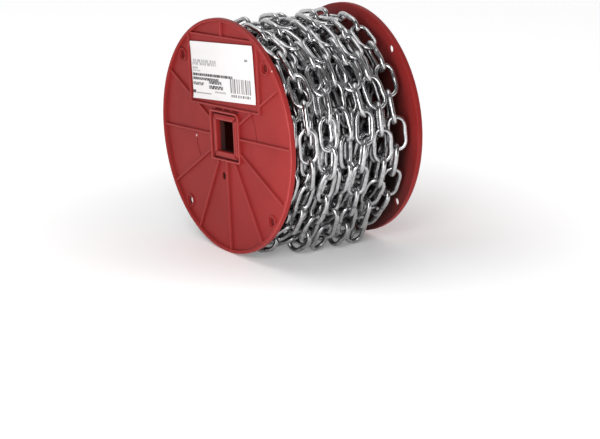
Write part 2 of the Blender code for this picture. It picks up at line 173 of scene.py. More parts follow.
def redPlastic(name, look, tone=1.0):
    # Clouds and flow lines of a nearly equal red. A mark of wear and painted light runs from 1 on rubbed
    # edges, which are paler as wear and painted highlight, to below 0 in corners, creases and hollows, which
    # are painted darker as shade. Where the mark "inner" is 1, shade is painted in, darkest near the barrel
    # and the floor
    finish = Finish(name)
    # a tone below 1 makes a darker copy, which paints shade
    red, paler, deeper = [(*(tone * c for c in look[k][:3]), 1) for k in ("red", "paler", "deeper")]
    cloud = finish.noise(18, 4)
    flow = finish.noise(60, 3, 0.6, (1, 0.35, 0.35))
    wearAndPaintedLight = finish.mark("wearAndPaintedLight")
    grit = finish.noise(900, 2, 0.6)
    nick = finish.noise(160, 4, 0.7)
    colour = finish.blend(cloud.over(0.35, 0.7), red, paler)
    colour = finish.blend(flow.over(0.5, 0.78) * 0.5, colour, deeper)
    rubbed = wearAndPaintedLight * nick.over(0.55, 0.72)
    colour = finish.blend(rubbed * 0.3, colour, look["scuff"])
    # painted highlight: paler edges; painted shade: corners and hollows near black
    colour = finish.blend(wearAndPaintedLight.over(0.35, 1.0) * (0.35 + 0.3 * flow), colour, look["edge"])
    colour = finish.blend((0 - wearAndPaintedLight).over(0.0, 1.0) * 0.85, colour, look["corner"])
    across = finish.add("VectorMath", {"operation": "MULTIPLY_ADD"}, finish.place,
                        (0, 1, 1), (0, 0, -axisHeight))
    radius = finish.add("VectorMath", {"operation": "LENGTH"}, across, out=1)
    height = finish.add("SeparateXYZ", {}, finish.place, out=2)
    # painted shade on faces toward the winding, darkest near the barrel and low down near the floor
    byBarrel = 1.0 - (radius + 0.01 * cloud).over(*look["shadeRadius"])
    byFloor = 1.0 - (height + 0.03 * flow).over(*look["shadeHeight"])
    paintedShade = byBarrel * look["shadeShare"] + byFloor * look["shadeShare"]
    colour = finish.blend(paintedShade * finish.mark("inner"), colour, look["shadeAndGrime"])
    for spot, size in look["chalkySpots"]:
        away = finish.add("VectorMath", {"operation": "DISTANCE"}, finish.place, spot, out=1) / size
        colour = finish.blend(1.0 - (away + nick * 0.8).over(1.0, 1.7), colour, look["chalky"])
    relief = grit * 0.25 + flow * 0.5 + nick.over(0.62, 0.75) * wearAndPaintedLight * -1.5
    return finish.shade(
        Base_Color=colour, Roughness=0.4 + 0.12 * cloud + 0.15 * rubbed,
        Normal=finish.bump(relief, 0.3, 0.0003), Specular_IOR_Level=0.12,
    )


# Zinc on the links
# the dark colour paints shade and real grime
zincLook = {"bright": (0.68, 0.68, 0.69, 1), "grey": (0.38, 0.38, 0.39, 1), "shadeAndGrime": (0.02, 0.02, 0.02, 1)}


def zincPlate(name, look):
    # Bright to grey from link to link (mark "own") and in clouds. Shade is painted deep in the winding (mark
    # "deep") and low down, and bright flecks deep in the winding are painted glints. Grime gathers in drawing
    # lines, specks and nicks, and on the weld (mark "weld")
    finish = Finish(name)
    deep = finish.mark("deep")
    own = finish.mark("own")
    weld = finish.mark("weld")
    cloud = finish.noise(220, 4, 0.6)
    speck = finish.noise(1400, 3, 0.65)
    drawn = finish.noise(700, 3, 0.6, (1, 0.5, 1))
    colour = finish.blend(cloud.over(0.3, 0.75) * 0.55 + own * 0.25, look["bright"], look["grey"])
    height = finish.add("SeparateXYZ", {}, finish.place, out=2)
    # painted shade: darker low down
    low = 1.0 - (height + 0.02 * cloud).over(0.0, 0.09)
    dots = 1.0 - finish.add("TexVoronoi", {}, Vector=finish.place, Scale=620.0).over(0.12, 0.3)
    nicks = dots * own.over(0.35, 0.6) * cloud.over(0.45, 0.55)
    # painted shade in the depths and low down, and real grime in lines, specks, nicks and welds
    stainAndShade = (
        deep * 0.73 + drawn.over(0.54, 0.62) * 0.2 + speck.over(0.56, 0.7) * 0.3
        + weld * 0.35 * cloud.over(0.35, 0.6) + nicks * 0.6 + low * 0.5
    )
    # painted glints: bright flecks deep in the winding
    paintedGlint = drawn.over(0.5, 0.6) * deep
    colour = finish.blend(stainAndShade.over(0.0, 1.15), colour, look["shadeAndGrime"])
    colour = finish.blend(paintedGlint * 0.5, colour, look["bright"])
    relief = speck * 0.6 + drawn * 0.5 + weld * speck * 2.0 - nicks * 0.8
    return finish.shade(
        Base_Color=colour, Metallic=1.0, Roughness=0.1 + 0.12 * cloud + 0.08 * own + 0.15 * deep + 0.1 * low,
        Normal=finish.bump(relief, 0.18, 0.0004),
    )


def meshObject(name, points, faces, material, smooth=True, marks=None):
    # A mesh from whole arrays, with a value of each mark at every point
    mesh = bpy.data.meshes.new(name)
    mesh.from_pydata(points.reshape(-1, 3).tolist(), [], faces if isinstance(faces, list) else faces.tolist())
    mesh.materials.append(material)
    for key, values in (marks or {}).items():
        layer = mesh.attributes.new(key, "FLOAT", "POINT")
        layer.data.foreach_set("value", np.asarray(values, np.float32).ravel())
    mesh.polygons.foreach_set("use_smooth", np.full(len(mesh.polygons), smooth))
    mesh.update()
    piece = bpy.data.objects.new(name, mesh)
    scene.collection.objects.link(piece)
    return piece


def gridFaces(rows, columns, closeRows, closeColumns):
    # Quads between neighbouring rows and columns of a grid, wrapped round where it closes
    r = np.arange(rows if closeRows else rows - 1)
    c = np.arange(columns if closeColumns else columns - 1)
    r, c = np.meshgrid(r, c, indexing="ij")
    nextR, nextC = (r + 1) % rows, (c + 1) % columns
    corners = [r * columns + c, nextR * columns + c, nextR * columns + nextC, r * columns + nextC]
    return np.stack(corners, -1).reshape(-1, 4)


def finishPiece(piece, slotName, *nodes):
    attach(piece, "root")
    if nodes:
        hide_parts(*nodes)
    return piece


# Chain, in metres and degrees
chain = {
    "wire": 0.0044, "width": 0.0192, "length": 0.0327, "pitch": 0.0238,
    # a link's mesh: points round the wire, how much it is opened out and lengthened, half a weld and its bead
    "cageSides": 6, "cageWide": 1.2, "cageLong": 1.016, "weldReach": 0.0026, "weldSwell": 0.16,
    # the outer layer: its middle line, and the links beyond the first and the last flat one
    "radius": 0.091, "firstStrand": -0.0465, "spacing": 0.020, "strandStart": -156, "endLinks": 8,
    "samples": 8640, "tilt": 3, "tiltDraws": 138,
    # the layers under it: radius, place of the first strand, strands across and links in a turn
    "innerLayers": ((0.0820, -0.054, 7, 22), (0.0720, -0.052, 6, 19), (0.0620, -0.053, 5, 15)),
    "innerWidth": 0.106, "innerLimit": 0.0535, "innerPitch": 0.024, "innerSlope": 0.004,
    "innerWander": 0.0022, "waves": 4, "waveStep": 0.35, "innerTilt": 18, "innerDepth": 0.0012,
    "innerRise": 0.08,
    # how the links settle, and what holds them in; "slack" is the room low in front
    "balls": 20, "steps": 110, "quickSteps": 12, "reach": 0.0345, "pull": 0.06, "touchWeight": 6,
    "barrel": 0.050, "outmost": 0.1024, "sideGap": 0.0003, "floorGap": 0.0004, "liftGap": 0.0013,
    "slackTop": 0.05, "slackFade": 0.03, "slackRoom": 0.016,
    # the radius above which the links get no painted shade, and the depth over which it grows full; seeds
    "unshadedRadius": 0.0945, "darkDepth": 0.024, "seed": 7, "markSeed": 11,
}
# Along each strand of the outer layer: angle (0 towards the camera side, 90 at the top), aside in strand
# spacings, out in wire thicknesses, and how far a link that lies flat leans about the strand
strandLines = [
    [(-150, -0.175, 0, -10), (-95, -0.225, 0.9, -10), (-62, 0.1, 1.8, -10), (-45, 0.4, 0.3, 5),
     (-27, 0.175, 0, 5), (-12, 0.325, 0, 0), (4, 0.075, 0, -5), (18, 0.175, 0, -20), (34, 0.275, 0, -34),
     (60, 0.075, 0, -20), (90, -0.075, 0, -10), (130, -0.125, 0, 0)],
    [(-140, -0.05, 0.2, 0), (-92, 0, 2.2, 0), (-74, 0.1, 3.6, 0), (-62, 0.2, 4.0, 5), (-48, 0.25, 1.4, 10),
     (-34, 0.3, 0, 15), (-20, 0.3, 0, 20), (9, 0.225, 0, -5), (26, 0.225, 0, -20), (38, 0.45, 0, -34),
     (60, 0.19, 0, -20), (90, -0.025, 0.2, -10), (130, -0.075, 0, 0)],
    [(-140, -0.05, 0.2, 0), (-92, -0.075, 2.2, 0), (-74, 0, 3.6, 0), (-62, 0.125, 4.6, 5),
     (-49, 0.15, 1.4, 10), (-33, 0.175, -0.9, 20), (-20, 0.25, -1, 20), (-3, 0.25, -1, 22), (10, 0.1, -1, 10),
     (27, 0.05, -1.1, 0), (45, 0.16, -0.6, -10), (60, 0.05, 0, -10), (90, -0.075, 0.7, -10),
     (130, -0.075, 0.2, 0)],
    [(-140, -0.05, 0.2, 0), (-92, -0.075, 2.2, 0), (-74, 0, 3.6, 0), (-62, 0.15, 4.8, 0), (-50, 0.2, 1.6, -5),
     (-38, 0.025, 0.1, -10), (-22, -0.025, 0.1, -16), (-7, -0.075, 0, -20), (9, 0.125, 0, -24),
     (24, 0.08, 0, -24), (40, 0.06, 0, -20), (60, -0.03, 0.1, -10), (90, -0.05, 0.7, -10),
     (130, -0.075, 0.2, 0)],
    [(-140, -0.05, 0.2, 0), (-92, -0.06, 2.1, 0), (-74, 0, 3.2, -5), (-64, 0.1, 3.9, -10),
     (-52, 0.05, 1.6, -15), (-40, 0.05, 0, -20), (-18, 0.12, 0, -25), (-2, 0.08, 0.1, -25),
     (14, -0.05, 0.1, -25), (28, -0.085, 0.1, -26), (43, -0.25, 0, -25), (60, -0.2, 0, -10),
     (90, -0.125, 0.3, -5), (130, -0.075, 0, 0)],
    [(-95, -0.1, 0.8, 0), (-68, -0.2, 1.1, -10), (-50, -0.26, 0, -20), (-27, -0.05, -0.3, -28),
     (-12, -0.27, -0.2, -25), (3, -0.02, -0.2, -28), (16, -0.36, -0.2, -25), (33, -0.15, -0.2, -32),
     (60, -0.2, 0, -15), (90, -0.175, 0.2, 0), (130, -0.075, 0, 0)],
]
flatLinkAngles = (4, 9, -3, 9, -2, 3)  # where a link of each strand lies flat


def smoothNoise(t, rng, count, size):
    # A sum of slow waves with random phases
    waves = rng.uniform(0.4, 2.4, count)[:, None] * t[None, :] + rng.uniform(0, 2 * np.pi, count)[:, None]
    return size * np.sin(waves).sum(0) / math.sqrt(count)


def outerLayer():
    # The columns of every strand are interpolated along the winding and rounded; the links are spread evenly
    # by length between the flat ones, and an odd number of them brings in a quarter twist behind the reel
    rows = np.array([
        (angle + 360 * k, chain["firstStrand"] + (k + aside) * chain["spacing"],
         chain["radius"] + out * chain["wire"], lean, k)
        for k, line in enumerate(strandLines) for angle, aside, out, lean in line
    ]).T

    def rounded(angle, column):
        # the mean over a few degrees takes the corners off the bends
        return np.mean([np.interp(angle + d, rows[0], rows[column]) for d in (-6, -3, 0, 3, 6)], axis=0)

    ends = chain["endLinks"] + 1
    flat = np.array(flatLinkAngles) + 360.0 * np.arange(len(flatLinkAngles))
    sweep = ends * math.degrees(2 * math.asin(chain["pitch"] / 2 / chain["radius"]))
    angle = np.linspace(flat[0] - sweep, flat[-1] + sweep, chain["samples"])
    x, r, a = rounded(angle, 1), rounded(angle, 2), np.radians(angle)
    line = np.stack([x, -r * np.cos(a), r * np.sin(a)])
    travelled = np.concatenate([[0], np.cumsum(np.linalg.norm(np.diff(line), axis=0))])
    flatAt = np.interp(flat, angle, travelled)
    numbers = np.concatenate([[0], np.cumsum(np.rint(np.diff(flatAt) / chain["pitch"]))])
    rows[3] += 90 * (numbers[rows[4].astype(int)] % 2)
    index = np.arange(1 - ends, numbers[-1] + ends)
    run = np.interp(index, [-ends, *numbers, numbers[-1] + ends], [0, *flatAt, travelled[-1]])
    here = np.interp(run, travelled, angle)
    x, r = rounded(here, 1), rounded(here, 2)
    # slopes over one degree, half of it on either side
    ahead = np.radians(1) * r
    sideways = np.arctan2(rounded(here + 0.5, 1) - rounded(here - 0.5, 1), ahead)
    rise = np.arctan2(rounded(here + 0.5, 2) - rounded(here - 0.5, 2), ahead)
    roll = np.radians(rounded(here, 3) + 90.0 * (index % 2))
    strand = ((here - chain["strandStart"]) // 360).astype(int)
    return here, x, r, roll, sideways, rise, strand


def innerLayer(rng, firstX, strands, perTurn):
    # An even helix that wanders a little from side to side
    index = np.arange(strands * perTurn)
    angle = index * 360 / perTurn + rng.uniform(0, 360)
    spacing = chain["innerWidth"] / strands
    wander = smoothNoise(index * chain["waveStep"], rng, chain["waves"], chain["innerWander"])
    x = firstX + spacing * index / perTurn + wander
    return angle, np.clip(x, -chain["innerLimit"], chain["innerLimit"]), index % 2, index // perTurn


def linkAxes(angle, x, radius, roll, lean, rise):
    # Along the strand, leaned sideways and outward; across it and outward, rolled about the strand
    a = np.radians(angle)
    zero = np.zeros_like(a)
    along = np.stack([np.tan(lean), np.sin(a), np.cos(a)], -1)
    outward = np.stack([zero, -np.cos(a), np.sin(a)], -1)
    along = along + outward * np.tan(rise)[:, None]
    along /= np.linalg.norm(along, axis=1)[:, None]
    across = np.cross(outward, along)
    across /= np.linalg.norm(across, axis=1)[:, None]
    outward = np.cross(along, across)
    c, s = np.cos(roll)[:, None], np.sin(roll)[:, None]
    side, face = across * c + outward * s, outward * c - across * s
    turn = np.stack([along, side, face], -1)
    centre = np.stack([x, -radius * np.cos(a), radius * np.sin(a) + axisHeight], -1)
    return turn, centre


def layChain():
    # Turn, centre, layer and strand of every link, each a quarter turn about the strand from the one before
    rng = np.random.default_rng(chain["seed"])
    angle, x, radius, roll, lean, rise, strand = outerLayer()
    # a fixed count of draws leaves the inner layers as they are when the outer one gains or loses a link
    roll = roll + np.radians(np.resize(rng.normal(0, chain["tilt"], chain["tiltDraws"]), len(angle)))
    layers = [(*linkAxes(angle, x, radius, roll, lean, rise), strand)]
    for radius, firstX, strands, perTurn in chain["innerLayers"]:
        angle, x, parity, strand = innerLayer(rng, firstX, strands, perTurn)
        count = len(angle)
        lean = np.clip(np.gradient(x), -chain["innerSlope"], chain["innerSlope"]) / chain["innerPitch"]
        roll = np.radians(90.0 * parity + rng.normal(0, chain["innerTilt"], count))
        radii = radius + rng.normal(0, chain["innerDepth"], count)
        rise = rng.normal(0, chain["innerRise"], count)
        layers.append((*linkAxes(angle, x, radii, roll, lean, rise), strand))
    turn, centre, strand = [np.concatenate(column) for column in zip(*layers)]
    layer = np.repeat(np.arange(len(layers)), [len(group[1]) for group in layers])
    return turn, centre, layer, strand


def linkSizes():
    # The wire's centre line: radius of the half circles, length of a straight side, and the whole way round
    half = (chain["width"] - chain["wire"]) / 2
    side = chain["length"] - chain["wire"] - 2 * half
    return half, side, 2 * side + 2 * math.pi * half


def linkLine(u):
    # Two straight sides and two half circles, u in turns round the link
    half, side, total = linkSizes()
    s = (u % 1.0) * total
    first, second, third = side, side + math.pi * half, 2 * side + math.pi * half
    one, two = (s - first) / half, (s - third) / half
    stretches = [s < first, s < second, s < third]
    x = np.select(stretches, [side / 2 - s, -side / 2 - half * np.sin(one), -side / 2 + (s - second)],
                  side / 2 + half * np.sin(two))
    y = np.select(stretches, [half + 0 * s, half * np.cos(one), -half + 0 * s], -half * np.cos(two))
    return np.stack([x, y], -1)


def pushApart(balls, one, two, size):
    # Balls of neighbouring links that overlap each move out by half the overlap; one that meets several
    # others moves by the mean. Also gives which balls touched, the deepest overlap and how many met
    gap = balls[one][:, :, None, :] - balls[two][:, None, :, :]
    far = np.sqrt((gap * gap).sum(-1)) + 1e-9
    p, a, b = np.nonzero(far < 2 * size)
    move = gap[p, a, b] / far[p, a, b, None] * ((2 * size - far[p, a, b]) * 0.5)[:, None]
    push, hits = np.zeros_like(balls), np.zeros(balls.shape[:2])
    for owner, ball, sign in ((one[p], a, 1), (two[p], b, -1)):
        flat = owner * balls.shape[1] + ball
        for axis in range(3):
            push[..., axis] += np.bincount(flat, sign * move[:, axis], hits.size).reshape(hits.shape)
        hits += np.bincount(flat, minlength=hits.size).reshape(hits.shape)
    return balls + push / np.maximum(hits, 1)[..., None], hits > 0, 2 * size - far.min(), len(p)


def heldIn(balls, size):
    # Between the flanges, off the barrel and the floor, and within the flanges' radius, except low in front,
    # where slack chain may lie on the floor
    side = insideHalf - size - chain["sideGap"]
    axis = np.array([0, axisHeight])
    balls[..., 0] = np.clip(balls[..., 0], -side, side)
    yz = balls[..., 1:] - axis
    r = np.linalg.norm(yz, axis=-1, keepdims=True)
    low = np.clip((chain["slackTop"] - balls[..., 2:]) / chain["slackFade"], 0, 1) * (balls[..., 1:2] < 0)
    outmost = chain["outmost"] - size + chain["slackRoom"] * low
    balls[..., 1:] = yz / r * np.clip(r, chain["barrel"] + size, outmost) + axis
    balls[..., 2] = np.maximum(balls[..., 2], size + chain["floorGap"])
    return balls


def fitLinks(balls, ring, weight):
    # The rigid link nearest to each row of balls: its turn comes from the singular vectors of their spread
    centre = (balls * weight).sum(1) / weight.sum(1)
    ringMiddle = (ring[None] * weight).sum(1) / weight.sum(1)
    spread = np.einsum("nmi,nmj->nij", (balls - centre[:, None]) * weight, ring[None] - ringMiddle[:, None])
    left, right = np.linalg.svd(spread)[::2]
    left[:, :, 2] *= np.sign(np.linalg.det(left @ right))[:, None]
    turn = left @ right
    return turn, centre - np.einsum("nij,nj->ni", turn, ringMiddle)


def settle(turn, centre, steps):
    # Links as rigid rows of small balls: overlaps push them apart, then each row is fitted back to a rigid
    # link, while a fading pull leads it to where it was laid
    count, size = chain["balls"], chain["wire"] / 2
    ring = np.zeros((count, 3))
    ring[:, :2] = linkLine(np.arange(count) / count)
    goal = np.einsum("nij,mj->nmi", turn, ring) + centre[:, None, :]
    balls = goal.copy()
    for step in range(steps):
        if step % 10 == 0:
            middle = balls.mean(1)
            apart = np.linalg.norm(middle[:, None] - middle[None], axis=-1)
            one, two = np.nonzero(np.triu(apart < chain["reach"], 1))
        balls = balls + chain["pull"] * (1 - step / steps) ** 2 * (goal - balls)
        balls, touched, deepest, contacts = pushApart(balls, one, two, size)
        # a link moves by what its touched balls ask, so they weigh more than the rest
        weight = 1 + chain["touchWeight"] * touched[..., None]
        turn, centre = fitLinks(heldIn(balls, size), ring, weight)
        balls = np.einsum("nij,mj->nmi", turn, ring) + centre[:, None, :]
        lifted = np.maximum(size + chain["liftGap"] - balls[..., 2].min(1), 0)
        centre[:, 2] += lifted
        balls[..., 2] += lifted[:, None]
    print("deepest overlap left, mm:", round(float(deepest * 1000), 2), "contacts", contacts)
    return turn, centre


def linkCage(sides, weld):
    # Stations along the wire's centre line with a ring of points about each, opened out so that the smoothed
    # tube has the real size. A weld has three stations, with a bead at the middle one
    half, side, total = linkSizes()
    arc = math.pi * half / 4
    reach = chain["weldReach"]
    along = [side / 2 + d for d in ((-reach, 0, reach) if weld else (0,))]
    along += [side + k * arc for k in range(5)] + [side * 1.5 + 4 * arc]
    along += [2 * side + (4 + k) * arc for k in range(5)]
    along = np.array(sorted(along))
    line = linkLine(along / total)
    count = len(along)
    near = np.roll(np.eye(count), 1, 0) + np.roll(np.eye(count), -1, 0)
    line = np.linalg.solve((4 * np.eye(count) + near) / 6, line)
    ahead = np.roll(line, -1, 0) - np.roll(line, 1, 0)
    ahead /= np.linalg.norm(ahead, axis=1)[:, None]
    normal = np.stack([ahead[:, 1], -ahead[:, 0]], -1)
    bead = np.zeros(count)
    bead[1] = 1 if weld else 0
    wide = chain["wire"] / 2 * chain["cageWide"] * (1 + chain["weldSwell"] * bead)
    a = np.arange(sides) * 2 * np.pi / sides
    out = np.cos(a)[None, :, None] * normal[:, None, :] * wide[:, None, None] + line[:, None, :]
    up = np.sin(a)[None, :] * wide[:, None]
    points = np.concatenate([out, up[..., None]], -1).reshape(-1, 3)
    return points, gridFaces(count, sides, True, True), np.repeat(bead, sides)


def addLinks(name, turn, centre, material, rng, weld=True):
    # One cage for all the links of a piece, turned and moved to each of them, then smoothed
    cage, faces, bead = linkCage(chain["cageSides"], weld)
    cage = cage * (chain["cageLong"], 1.0, 1.0)
    n, m = len(turn), len(cage)
    # which long side carries the weld, and which way round the link lies, differ from link to link
    flip = np.stack([np.sign(rng.uniform(-1, 1, n)), np.sign(rng.uniform(-1, 1, n))], -1)
    local = cage[None] * np.stack([flip[:, 0], flip[:, 1], flip[:, 0] * flip[:, 1]], -1)[:, None, :]
    points = np.einsum("nij,nmj->nmi", turn, local) + centre[:, None, :]
    allFaces = (faces[None] + (np.arange(n) * m)[:, None, None]).reshape(-1, 4)
    # painted shade: the deeper a link lies in the winding, the darker
    radius = np.linalg.norm(points[..., 1:] - np.array([0, axisHeight]), axis=-1)
    deep = np.clip((chain["unshadedRadius"] - radius) / chain["darkDepth"], 0, 1)
    own = np.repeat(rng.uniform(0, 1, n), m)
    marks = {"deep": deep, "own": own, "weld": np.tile(bead, n)}
    piece = meshObject(name, points, allFaces, material, marks=marks)
    smooth = piece.modifiers.new("round", "SUBSURF")
    smooth.levels = smooth.render_levels = 1
    return piece


def addChain():
    # Six strands for the outer layer, which share its nodes evenly, and a piece for each layer under it
    zinc = zincPlate("zinc", zincLook)
    turn, centre, layer, strand = layChain()
    turn, centre = settle(turn, centre, chain["steps"])
    rng = np.random.default_rng(chain["markSeed"])
    chainNodes = sorted(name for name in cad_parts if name.startswith("chain_") and name != "chain_core")
    innerNodes = sorted(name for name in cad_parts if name.startswith("inner_"))
    perStrand = len(chainNodes) // len(strandLines)
    for k in range(len(strandLines)):
        mine = (layer == 0) & (strand == k)
        piece = addLinks(f"strand_{k + 1}", turn[mine], centre[mine], zinc, rng)
        finishPiece(piece, "steel", *chainNodes[k * perStrand:(k + 1) * perStrand])
    inside = (("second_layer", innerNodes), ("third_layer", ["chain_core"]), ("deep_layer", []))
    for number, (name, nodes) in enumerate(inside, 1):
        mine = layer == number
        finishPiece(addLinks(name, turn[mine], centre[mine], zinc, rng, False), "dark_steel", *nodes)
    print("chain laid,", len(turn), "links")


addChain()


# Flanges, in their own frame: X right and Y up as seen from outside, Z out of the reel. What differs between
# the two is kept by side: -1 for the labelled flange, 1 for the plain one
flange = {
    "radius": 0.1039, "rimDepth": 0.0055, "rimWall": 0.003, "web": 0.0025, "turn": 4.5, "columns": 240,
    "ribWidth": 0.002, "ribSetback": 0.0009, "ribAngles": (-150, -120, -90, -60, -30, 0, 30, 90, 150, 180),
    "ribBegin": 0.0226, "ribEnd": 0.0008, "shortestRib": 0.004, "sharpest": 40, "insideUpTo": 0.0003,
    "bossRing": {-1: 0.094, 1: 0.0965}, "bossRadius": 0.006, "bossWall": 0.0011, "bossHeight": 0.0014,
    "bossHole": 0.0034, "bossAngles": (45, 135, 225, 315), "recess": 0.0014,
    "openBosses": {-1: (225,), 1: (45, 135, 225, 315)},
    "circle": 0.0494, "circleMiddle": -0.0017, "circleArcs": ((1, 30), (182, 207)), "circleWidth": 0.0009,
    # marks of wear and painted light: the circle and the walls of blind holes are painted darker as shade,
    # the back and the walls of open holes a little rubbed
    "circleHeight": 0.0004, "circleShade": -0.55, "backWorn": 0.45, "openWorn": (0.3, 0.3),
    "blindShade": (-0.35, -0.6), "guards": (0.992, 1.02),
    "tieHole": (-0.0083, -0.0362), "tieHalf": (0.0026, 0.0033), "tieCorner": 0.00255,
    "slotHalf": (0.0049, 0.0009), "slotCorner": 0.0006, "slots": (-0.0115, 0.0022, 0.0159),
    "slotLine": 0.0236, "frameMiddle": (0.0007, 0.0566), "frameHalf": (0.0552, 0.0308), "frameWall": 0.0018,
    "frameEnd": 0.0006,
}
hub = {
    "half": (0.0230, 0.0222), "ridge": 0.0016, "collar": 0.0189, "hole": (0.01375, 0.0140),
    "sleeveWall": 0.003, "sleeveDepth": 0.0045, "dentedCorner": 0.0045, "dentedCollar": 0.0016,
    # the notches at the collar's corners are painted darker as shade
    "notch": 0.0017, "notchShape": (0, 0.4, 0.95, 1, 0.95, 0.4, 0), "notchShade": -0.7,
}


def boxLine(half, corner, middle=(0, 0), firstCorner=0.0):
    # Outline of a box with round corners, counter-clockwise from the upper right corner
    points = []
    for k, (sx, sy) in enumerate(((1, 1), (-1, 1), (-1, -1), (1, -1))):
        c = corner + (firstCorner if k == 0 else 0)
        a = np.radians(90 * k + np.linspace(0, 90, 7))
        x = middle[0] + sx * (half[0] - c) + c * np.cos(a)
        y = middle[1] + sy * (half[1] - c) + c * np.sin(a)
        points.append(np.stack([x, y], -1))
    return np.concatenate(points)


def roundLine(middle, radius, count):
    # Outline of a circle, counter-clockwise from its right
    a = np.arange(count) * 2 * np.pi / count
    return np.array(middle) + radius * np.stack([np.cos(a), np.sin(a)], -1)


def stacked(lines, heights):
    # Flat outlines at their heights, as the rows of a grid
    return np.array([np.column_stack([line, np.full(len(line), z)]) for line, z in zip(lines, heights)])


def rimRows(f):
    # Turned profile from the front of the web over the lip and round to the back: radius, height, and a mark
    # of wear and painted light, darker at the foot as painted shade and paler on the lip as painted highlight
    r, d, web = f["radius"], f["rimDepth"], f["web"]
    inside = r - f["rimWall"]
    return [
        (inside - 0.0012, web, 0), (inside - 0.0005, web + 0.00015, -0.5),
        (inside - 0.0001, web + 0.0008, -0.3), (inside, d - 0.0009, 0), (inside + 0.0001, d - 0.0004, 0.4),
        (inside + 0.0004, d - 0.0001, 0.6), (inside + 0.0009, d, 0.3), (r - 0.0009, d, 0.3),
        (r - 0.0004, d - 0.00026, 0.8), (r - 0.00012, d - 0.0007, 0.9), (r, d - 0.0012, 0.5),
        (r, d / 2, 0.2), (r, 0.0006, 0.4), (r - 0.00015, 0.0002, 0.7), (r - 0.0006, 0, 0),
        (inside + 0.0002, 0, 0), (inside - 0.0012, 0, 0),
    ]


def hubRows(f, h):
    # Box-shaped rows from the web up the ridge, down the groove, over the collar and through the hole to the
    # back of the web. Each profile has how far a row stands out from its box, its height above the back, its
    # corner in millimetres and a mark of wear and painted light: paler on the ridge and the collar as wear
    # and painted highlight, darker in the groove and down the hole as painted shade. Each row has half its
    # width, half its height, where it lies, its corner, that mark and how much rounder its upper right corner
    # is, which is dented
    d, web, w, dent = f["rimDepth"], f["web"], h["ridge"], h["dentedCorner"]
    (x, y), (p, q), g, depth = h["half"], h["hole"], h["collar"], h["sleeveDepth"]
    floor, top, s = web + 0.0002, d - 0.0002, h["hole"][0] + h["sleeveWall"]
    ridge = [
        (0.0004, web, 2.2, 0), (0.0001, web + 0.0002, 1.9, -0.6), (0, web + 0.0007, 1.7, -0.2),
        (0, d - 0.0006, 1.7, 0.5), (-0.0002, d - 0.0002, 1.6, 1), (-0.0005, d, 1.5, 1),
        (0.0005 - w, d, 0.9, 1), (0.0002 - w, d - 0.0002, 0.8, 1), (-w, d - 0.0006, 0.7, 0.3),
        (-w, floor + 0.0006, 0.7, -0.5), (-w - 0.0004, floor, 0.7, -0.8),
    ]
    collar = [
        (0.0004, floor, 2.6, -0.8), (0, floor + 0.0005, 2.4, -0.5), (0, top - 0.0014, 2.4, 0.1),
        (-0.0003, top - 0.0009, 2.2, 0.7), (-0.0013, top - 0.0003, 1.8, 0.6), (-0.0026, top, 1.4, 0.5),
    ]
    hole = [
        (0.0011, top - 0.0001, 1.0, 0.7), (0.0004, top - 0.0003, 0.9, 0.8), (0.0001, top - 0.0006, 0.8, 0.6),
        (0, top - 0.0011, 0.8, 0), (0, 0.001, 0.8, -0.25), (0, 0, 0.8, -0.4), (0, 0.0004 - depth, 0.8, -0.8),
        (0.0004, -depth, 0.8, -0.8),
    ]
    sleeve = [
        (-0.0004, -depth, 1, 0), (0, 0.0004 - depth, 1.2, 0), (0, -0.0008, 1.4, 0), (0.0004, -0.0001, 1.6, 0),
        (0.0012, 0, 2, 0),
    ]
    rows = [(x + grow, y + grow, z, c / 1000, wearAndPaintedLight, dent) for grow, z, c, wearAndPaintedLight in ridge]
    dented = h["dentedCollar"]
    rows += [(g + grow, g + grow, z, c / 1000, wearAndPaintedLight, dented + grow / 2) for grow, z, c, wearAndPaintedLight in collar]
    rows += [(p + grow, q + grow, z, c / 1000, wearAndPaintedLight, 0) for grow, z, c, wearAndPaintedLight in hole]
    return rows + [(s + grow, s + grow, z, c / 1000, wearAndPaintedLight, 0) for grow, z, c, wearAndPaintedLight in sleeve]


def hubSurface(f, h):
    # The grid of the hub's rows. The collar's corners are notched: from its shoulder to the top of the hole,
    # each row dips at the middle points of a corner
    rows = hubRows(f, h)
    grid = stacked([boxLine(row[:2], row[3], firstCorner=row[5]) for row in rows], [row[2] for row in rows])
    marks = np.repeat([row[4] for row in rows], grid.shape[1]).reshape(grid.shape[:2])
    dip = np.tile(h["notchShape"], 4)
    notched = slice(13, 21)  # from the collar's third row to the hole's fourth
    collarTop = grid[notched, :, 2].max()
    grid[notched, :, 2] = np.minimum(grid[notched, :, 2], collarTop - h["notch"] * dip)
    # the notches are painted darker as shade
    marks[notched] = np.where(dip > 0.5, h["notchShade"], marks[notched])
    return grid, marks


def flatSheet(outer, holes, guards, z, facesUp):
    # Triangles between an outer outline and holes, all convex; guard lines beside them keep the shading flat
    points, edges = [], []
    for line in [outer, *holes, *guards]:
        first, count = len(points), len(line)
        points += [Vector(p) for p in line.tolist()]
        edges += [(first + k, first + (k + 1) % count) for k in range(count)]
    found = delaunay_2d_cdt(points, edges, [], 0, 1e-8)
    flat, faces = np.array(found[0]), np.array(found[2])
    middle = flat[faces].mean(1)

    def within(line):
        step = np.roll(line, -1, 0) - line
        off = middle[:, None] - line[None]
        return (step[:, 0] * off[..., 1] - step[:, 1] * off[..., 0] > 0).all(1)

    keep = within(outer)
    for line in holes:
        keep &= ~within(line)
    faces = faces[keep]
    one, two, three = flat[faces[:, 0]], flat[faces[:, 1]], flat[faces[:, 2]]
    a, b = two - one, three - one
    up = a[:, 0] * b[:, 1] > a[:, 1] * b[:, 0]
    faces[up != facesUp] = faces[up != facesUp][:, ::-1]
    return np.column_stack([flat, np.full(len(flat), z)]), faces.tolist(), np.zeros(len(flat))


